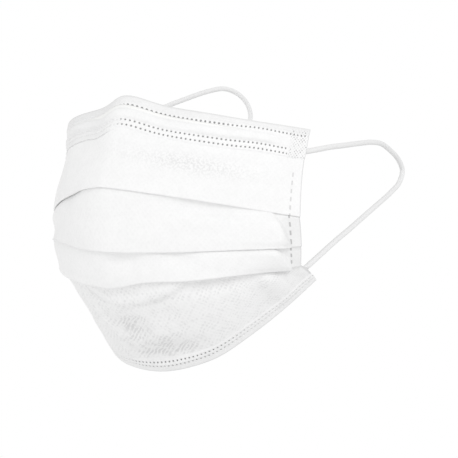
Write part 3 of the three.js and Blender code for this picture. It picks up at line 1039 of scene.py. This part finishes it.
def body_sheet(cut):
    """The whole body as one sheet from the top edge down through three pleats."""
    shares = cut["shares"]
    last = len(SECTIONS) - 2
    start = EDGE_INSET / cut["heights"][0].mean()
    end = 1 - EDGE_INSET / cut["heights"][last].mean()
    layers = [panel_layer(cut, 0, eased(PANEL_ROWS[0], start, 1), 0.0, 1)]
    for pleat in range(last):
        pitch = pleat_pitch(pleat, shares)
        hidden = pleat_depth(pleat, shares)
        layers.append(turn(layers[-1], -1, cut, pleat, pitch / 2, 1, 1))
        up = 1 - hidden * np.linspace(0, 1, HIDDEN_ROWS)[:, None]
        layers.append(panel_layer(cut, pleat, up, -pitch, -1))
        layers.append(turn(layers[-1], -1, cut, pleat, pitch / 2, -1, -1))
        layers.append(panel_layer(cut, pleat, up[::-1], -2 * pitch, 1))
        stop = end if pleat + 1 == last else 1
        falls = eased(PANEL_ROWS[pleat + 1] + 1, 0, stop)[1:]
        layers.append(panel_layer(cut, pleat + 1, falls, 0.0, 1))
    return stack(layers)


body_cut = slices(column_shares(COLUMNS))
body = body_sheet(body_cut)
body_uvs, unfolded_length = cloth_measures(body, body_cut["shares"])
print("unfolded cloth is about", round(unfolded_length), "mm long")
mask_cloth = cloth_shell("mask_cloth", body["middle"], body["face"], THICKNESS, body_uvs,
                         body_cloth)
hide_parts("mask_body")
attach(mask_cloth, "root")

# %% [markdown]
# Each strip is a narrower cloth folded over its edge. The top one makes a sleeve for the wire: it
# is pressed down along its rows of weld dots and stands up between them. Its grid is finer, so
# that each dot is a real dimple with a rounded rim. Its free edges are sunk into the cloth. On the
# wearer's right the deepest dots and grooves sink past the cloth's face too, by up to 0.24 mm,
# which was not meant.

# %% Strips
STRIP_THICKNESS = 0.32
STRIP_PITCH = 0.47
TOP_STRIP_HEIGHT = 15.0
BOTTOM_STRIP_HEIGHT = 8.4
# Where the top strip's weld rows sag: middle across, width and depth.
ROW_SAGS = ((104, 32, 1.4), (149, 8, -0.45), (167, 8, 0.4), (79, 8, 2.0))
# Grooves along its weld rows on the wearer's right: depth, level and width.
ROW_GROOVES = ((0.4, TOP_ROW, 0.6), (0.2, 10.4, 0.5), (0.2, 12.6, 0.5))
STRIP_COLUMNS = 720
DIMPLE_DEPTH = 0.28
WIRE_LENGTH = 130
WIRE_DROP = 7.0
WIRE_WIDTH = 4.0
WIRE_THICKNESS = 0.75
SLEEVE_FADE = 9.0


def dimples(across, drop, row, shift):
    """Depth of the round pits of one row of dots: a small flat floor and steep walls, so that the
    dark floor is hidden where the strip is seen from its side."""
    along = (np.mod(across / DOT_PITCH + shift, 1) - 0.5) * DOT_PITCH
    far = np.hypot(along, drop - row)
    return DIMPLE_DEPTH * (1 - smoothstep(DOT_RADIUS * 0.7, DOT_RADIUS * 1.4, far))


def sagged(level, shares):
    """The true drop of a level of the top strip, whose weld rows are not quite straight."""
    across = (shares + 1) * HALF_CLOTH
    sag = sum(depth * hill(across, middle, width) for middle, width, depth in ROW_SAGS)
    return level + sag * smoothstep(EDGE_INSET, TOP_ROW, level)


def top_relief(shares, level):
    """How far the top strip stands off the cloth. It swells between its weld rows, stands up over
    the wire, and lies flat at its lower edge."""
    across = (shares + 1) * HALF_CLOTH
    edge = edge_distance(shares)
    wire_end = np.abs(shares) * HALF_CLOTH - WIRE_LENGTH / 2
    over_wire = 1 - smoothstep(1, SLEEVE_FADE, wire_end)
    band = smoothstep(4.5, 6.4, level) * (1 - smoothstep(8.4, 10.0, level))
    relief = band * (0.35 + WIRE_THICKNESS * over_wire)
    relief = relief + 0.35 * hill(level, TOP_ROW - 1.7, 0.9) + 0.12 * hill(level, 11.5, 0.5)
    flank = hill(shares, -0.17, 0.07) + 0.5 * hill(shares, 0.12, 0.05)
    relief = relief + 0.1 * flank * np.sin(across * 2 * math.pi / 1.7) * hill(level, 9.5, 4.0)
    relief = relief * smoothstep(2.0, PATCH_REACH + 3, edge)
    near = smoothstep(-0.05, 0.05, shares)
    relief = relief - (0.12 * (1 - near) + 0.55 * near) * smoothstep(13.4, 14.6, level)
    grooves = sum(depth * hill(level, row, width) for depth, row, width in ROW_GROOVES)
    relief = relief - (1 - near) * grooves
    clear = smoothstep(PATCH_REACH - 1, PATCH_REACH, edge)
    relief = relief - dimples(across, level, TOP_ROW, SINGLE_DOT_SHIFT)
    for i, row in enumerate(TOP_DOUBLE_ROWS):
        relief = relief - clear * dimples(across, level, row, 0.5 * i)
    return relief


def bottom_relief(shares, rise):
    """How far the bottom strip stands off the cloth."""
    across = (shares + 1) * HALF_CLOTH
    relief = 0.15 * hill(rise, 1.6, 0.8) + 0.08 * hill(rise, 5.0, 0.5)
    relief = relief - 0.52 * smoothstep(6.8, 8.2, rise)
    for i, row in enumerate(BOTTOM_DOUBLE_ROWS):
        relief = relief - dimples(across, rise, row, 0.5 * i)
    return relief


def top_strip(cut):
    """The strip over the top edge: its inner leg, the turn over the edge and its outer leg."""
    shares, height = cut["shares"], cut["heights"][0]
    inner = column(np.linspace(TOP_STRIP_HEIGHT, EDGE_INSET, 9)) + 0 * shares
    levels = column(np.concatenate([np.linspace(EDGE_INSET, 2.6, 5), np.linspace(2.8, 4.6, 12),
                                    np.linspace(5.0, 9.4, 9), np.linspace(9.7, 13.5, 21),
                                    np.linspace(13.9, TOP_STRIP_HEIGHT, 4)])) + 0 * shares
    legs_in = panel_layer(cut, 0, sagged(inner, shares) / height, -STRIP_PITCH, -1)
    radius = np.full(len(shares), STRIP_PITCH)
    over = turn(legs_in, -1, cut, 0, radius, 1, -1)
    relief = top_relief(shares, levels)
    outer = panel_layer(cut, 0, sagged(levels, shares) / height, STRIP_PITCH + relief, 1)
    legs_in["drop"], outer["drop"] = inner, levels
    return stack([legs_in, over, outer])


def bottom_strip(cut):
    """The strip under the bottom edge: its outer leg, the turn under the edge and its inner leg."""
    panel = len(SECTIONS) - 2
    shares, height = cut["shares"], cut["heights"][panel]
    rises = column(np.concatenate([np.linspace(BOTTOM_STRIP_HEIGHT, 7.0, 4),
                                   np.linspace(6.8, 3.2, 20), np.linspace(2.8, EDGE_INSET, 4)]))
    relief = bottom_relief(shares, np.broadcast_to(rises, (len(rises), len(shares))))
    outer = panel_layer(cut, panel, 1 - rises / height, STRIP_PITCH + relief, 1)
    under = turn(outer, -1, cut, panel, np.full(len(shares), STRIP_PITCH), 1, 1)
    inner = column(np.linspace(EDGE_INSET, BOTTOM_STRIP_HEIGHT, 7)) / height
    legs_in = panel_layer(cut, panel, 1 - inner, -STRIP_PITCH, -1)
    sheet = stack([outer, under, legs_in])
    sheet["drop"] = cut["heights"].sum(0) - sheet["drop"]
    return sheet


# The columns are even, so that every dot gets as many of them.
strip_cut = slices(np.linspace(-1, 1, STRIP_COLUMNS))


def make_strip(name, sheet, material, node):
    """A strip that stands for its CAD node."""
    uvs, _ = cloth_measures(sheet, strip_cut["shares"])
    piece = cloth_shell(name, sheet["middle"], sheet["face"], STRIP_THICKNESS, uvs, material)
    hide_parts(node)
    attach(piece, "root")
    return piece


upper_strip = make_strip("top_strip", top_strip(strip_cut), top_cloth, "top_binding")
lower_strip = make_strip("bottom_strip", bottom_strip(strip_cut), bottom_cloth,
                         "bottom_binding")

# %% [markdown]
# The wire lies in its sleeve, flat against the cloth. It is a strip of white plastic over steel:
# the same grid, given its thickness and closed at its rims. It keeps its place where the sleeve's
# weld rows sag, so there its upper edge still comes through the strip, by up to 0.9 mm.

# %% Wire
WIRE_COLUMNS = 160
WIRE_PROFILE = 7
WIRE_SINK = 0.04
SLEEVE_ROOM = 0.15


def nose_wire(shares_reach):
    """The flat wire: a strip with square edges that follows the cloth under the sleeve."""
    cut = slices(np.linspace(-shares_reach, shares_reach, WIRE_COLUMNS))
    half = WIRE_WIDTH / 2
    drops = column(np.linspace(WIRE_DROP - half, WIRE_DROP + half, WIRE_PROFILE))
    depth = (THICKNESS + WIRE_THICKNESS) / 2 - WIRE_SINK
    layer = panel_layer(cut, 0, drops / cut["heights"][0], depth, 1)
    uvs, _ = cloth_measures(layer, cut["shares"])
    return cloth_shell("nose_strip_wire", layer["middle"], layer["face"],
                       WIRE_THICKNESS - SLEEVE_ROOM, uvs, wire_coating)


wire = nose_wire(WIRE_LENGTH / 2 / HALF_CLOTH)
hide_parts("nose_wire")
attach(wire, "root")
